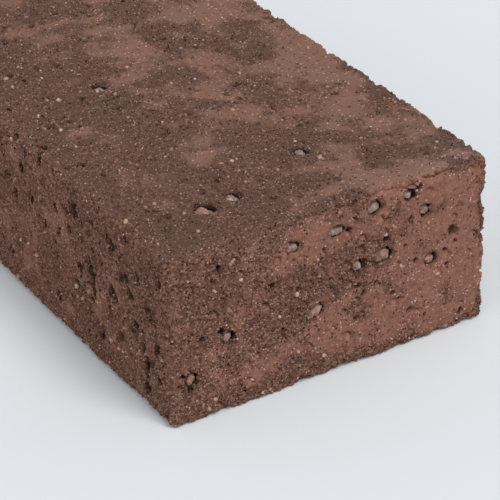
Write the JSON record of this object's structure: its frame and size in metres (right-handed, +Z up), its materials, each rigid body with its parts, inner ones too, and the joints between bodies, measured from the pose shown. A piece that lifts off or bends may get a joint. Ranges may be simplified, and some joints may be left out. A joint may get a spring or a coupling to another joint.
{
  "type": "fired clay bar",
  "caption": "Rectangular bar of porous brown fired clay with rounded edges, open pores, and pebbles of quartz and grog set in its faces.",
  "frame": {"origin": "centre of the underside", "axes": "+X along the length, towards the end face that shows the most pebbles; +Y across the width; +Z up"},
  "size_m": [0.21, 0.1, 0.0515],
  "materials": {
    "fired_clay": "matt, gritty and porous",
    "quartz": "pale, slightly glossy pebble",
    "grog": "matt, pale pink lump of harder clay"
  },
  "bodies": {
    "root": {"clay_body": "fired_clay", "pebble_end_round": "quartz", "pebble_end_split": "quartz", "pebble_end_lens": "quartz", "pebble_end_large": "grog", "pebble_end_beside_large": "quartz", "pebble_end_grey": "quartz", "pebble_end_long": "grog", "pebble_end_low": "quartz", "pebble_end_sliver": "grog", "pebble_end_small": "grog", "pebble_end_upper": "quartz", "pebble_top_corner": "grog", "pebble_top_pale": "quartz", "pebble_top_middle": "quartz", "pebble_top_back": "quartz", "pebble_left_low": "quartz", "pebble_right_high": "grog", "pebble_right_low": "quartz", "pebble_back_large": "grog", "pebble_back_small": "quartz", "pebble_bottom_front": "quartz", "pebble_bottom_back": "grog"}
  },
  "joints": []
}
